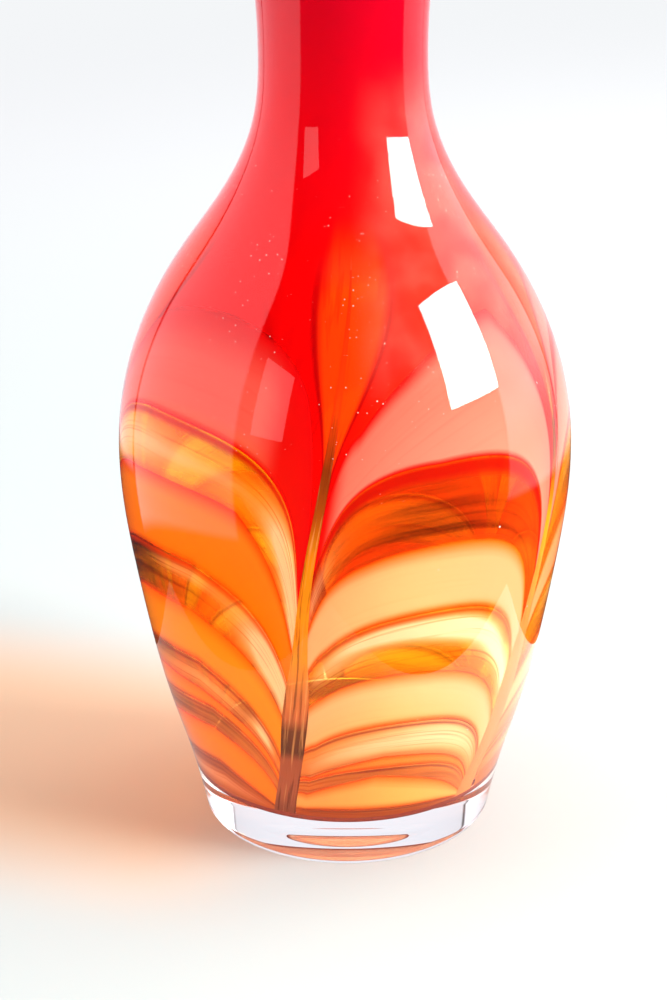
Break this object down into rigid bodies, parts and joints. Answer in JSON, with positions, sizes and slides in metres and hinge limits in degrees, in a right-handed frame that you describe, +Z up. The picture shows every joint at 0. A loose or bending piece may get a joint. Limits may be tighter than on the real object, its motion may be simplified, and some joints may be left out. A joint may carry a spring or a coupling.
{
  "type": "vase",
  "caption": "Tall blown art glass vase with a long flared neck, red shoulder, amber body and a combed feather pattern of opal leaves over a heavy clear foot.",
  "frame": {"origin": "centre of the ground foot, on the surface the vase stands on", "axes": "+Z up along the vase's axis, -Y towards the viewer of the front, +X to that viewer's right"},
  "size_m": [0.2002, 0.2002, 0.4297],
  "materials": {
    "clear_glass": "fire-polished clear glass",
    "ruby_glass": "embedded transparent ruby overlay",
    "opal_glass": "embedded opalescent trail, coral above and peach below",
    "amber_glass": "embedded transparent amber",
    "brown_glass": "embedded transparent brown amber",
    "floor_glass": "embedded transparent red brown",
    "bubble_glass": "smooth clear inner glass"
  },
  "bodies": {
    "root": {"clear_casing": "clear_glass", "ruby_overlay": "ruby_glass", "opal_turn_1": "opal_glass", "opal_turn_2": "opal_glass", "opal_turn_3": "opal_glass", "opal_turn_4": "opal_glass", "opal_turn_5": "opal_glass", "amber_turn_1": "amber_glass", "amber_turn_2": "amber_glass", "amber_turn_3": "amber_glass", "amber_turn_4": "amber_glass", "amber_turn_5": "amber_glass", "pull_stem_1": "brown_glass", "pull_stem_2": "brown_glass", "pull_stem_3": "brown_glass", "pull_stem_4": "brown_glass", "pull_stem_5": "brown_glass", "colour_cup_floor": "floor_glass", "inner_bubble": "bubble_glass"}
  },
  "joints": []
}
